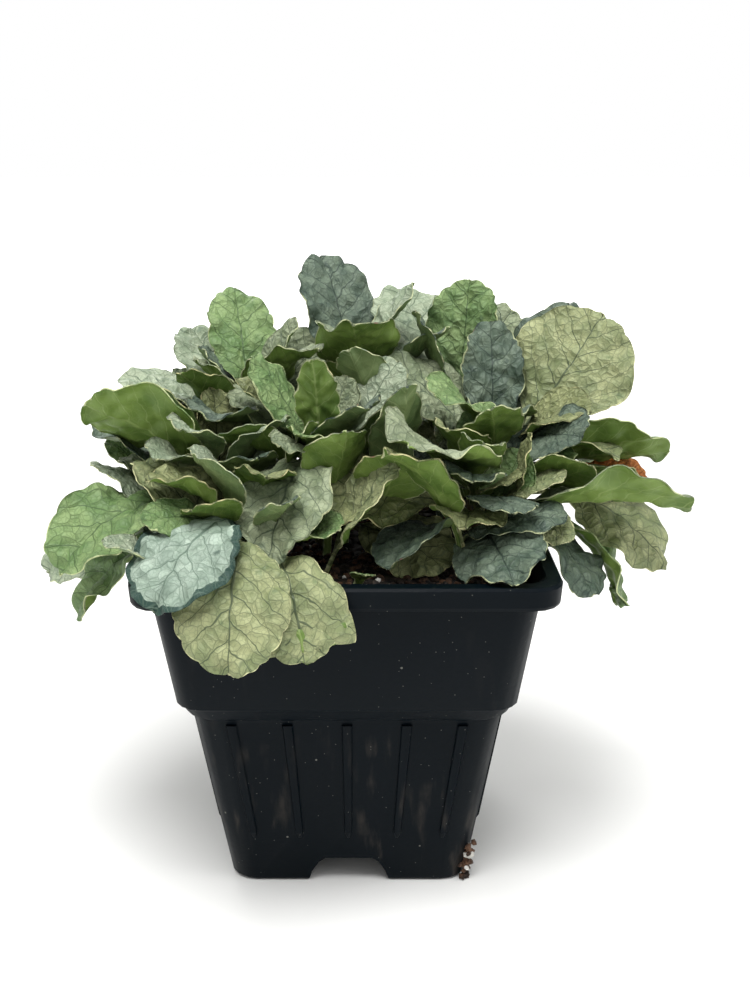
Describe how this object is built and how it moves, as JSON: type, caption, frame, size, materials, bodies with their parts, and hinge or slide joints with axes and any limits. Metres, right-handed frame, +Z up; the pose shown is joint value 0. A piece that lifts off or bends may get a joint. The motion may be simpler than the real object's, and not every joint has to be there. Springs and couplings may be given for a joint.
{
  "type": "potted bugleweed",
  "caption": "Low mound of broad, wavy, variegated bugleweed leaves growing from short crowns in a square black nursery pot of potting soil.",
  "frame": {"origin": "centre of the square pot at the level its feet stand on, within 1.5 mm of the middle of the whole plant's footprint", "axes": "+Z up; -Y is the front of the pot, over whose left corner three broad leaves hang; +X to the right seen from the front"},
  "size_m": [0.1928, 0.1469, 0.1798],
  "materials": {
    "pot_plastic": "satin black moulded plastic",
    "potting_mix": "dark damp peat and bark mix",
    "crown_stem": "green fleshy stem",
    "leaf_front": "soft variegated leaf, faint sheen",
    "leaf_left": "soft variegated leaf, faint sheen",
    "leaf_middle": "soft variegated leaf, faint sheen",
    "leaf_near_right": "soft variegated leaf, faint sheen",
    "leaf_right": "soft variegated leaf, faint sheen",
    "leaf_back_left": "soft variegated leaf, faint sheen",
    "leaf_back": "soft variegated leaf, faint sheen",
    "leaf_back_right": "soft variegated leaf, faint sheen"
  },
  "bodies": {
    "root": {"nursery_pot": "pot_plastic", "potting_soil": "potting_mix", "rootstock": "crown_stem", "leaf_front_1": "leaf_front", "leaf_front_2": "leaf_front", "leaf_front_3": "leaf_front", "leaf_front_4": "leaf_front", "leaf_front_5": "leaf_front", "leaf_front_6": "leaf_front", "leaf_left_1": "leaf_left", "leaf_left_2": "leaf_left", "leaf_left_3": "leaf_left", "leaf_left_4": "leaf_left", "leaf_left_5": "leaf_left", "leaf_left_6": "leaf_left", "leaf_left_7": "leaf_left", "leaf_left_8": "leaf_left", "leaf_left_9": "leaf_left", "leaf_middle_1": "leaf_middle", "leaf_middle_2": "leaf_middle", "leaf_middle_3": "leaf_middle", "leaf_middle_4": "leaf_middle", "leaf_middle_5": "leaf_middle", "leaf_middle_6": "leaf_middle", "leaf_near_right_1": "leaf_near_right", "leaf_near_right_2": "leaf_near_right", "leaf_near_right_3": "leaf_near_right", "leaf_near_right_4": "leaf_near_right", "leaf_near_right_5": "leaf_near_right", "leaf_near_right_6": "leaf_near_right", "leaf_right_1": "leaf_right", "leaf_right_2": "leaf_right", "leaf_right_3": "leaf_right", "leaf_right_4": "leaf_right", "leaf_right_5": "leaf_right", "leaf_right_6": "leaf_right", "leaf_right_7": "leaf_right", "leaf_right_8": "leaf_right", "leaf_right_9": "leaf_right", "leaf_right_10": "leaf_right", "leaf_back_left_1": "leaf_back_left", "leaf_back_left_2": "leaf_back_left", "leaf_back_left_3": "leaf_back_left", "leaf_back_left_4": "leaf_back_left", "leaf_back_left_5": "leaf_back_left", "leaf_back_left_6": "leaf_back_left", "leaf_back_left_7": "leaf_back_left", "leaf_back_left_8": "leaf_back_left", "leaf_back_left_9": "leaf_back_left", "leaf_back_1": "leaf_back", "leaf_back_2": "leaf_back", "leaf_back_3": "leaf_back", "leaf_back_4": "leaf_back", "leaf_back_5": "leaf_back", "leaf_back_right_1": "leaf_back_right", "leaf_back_right_2": "leaf_back_right", "leaf_back_right_3": "leaf_back_right", "leaf_back_right_4": "leaf_back_right", "leaf_back_right_5": "leaf_back_right", "leaf_back_right_6": "leaf_back_right"}
  },
  "joints": []
}
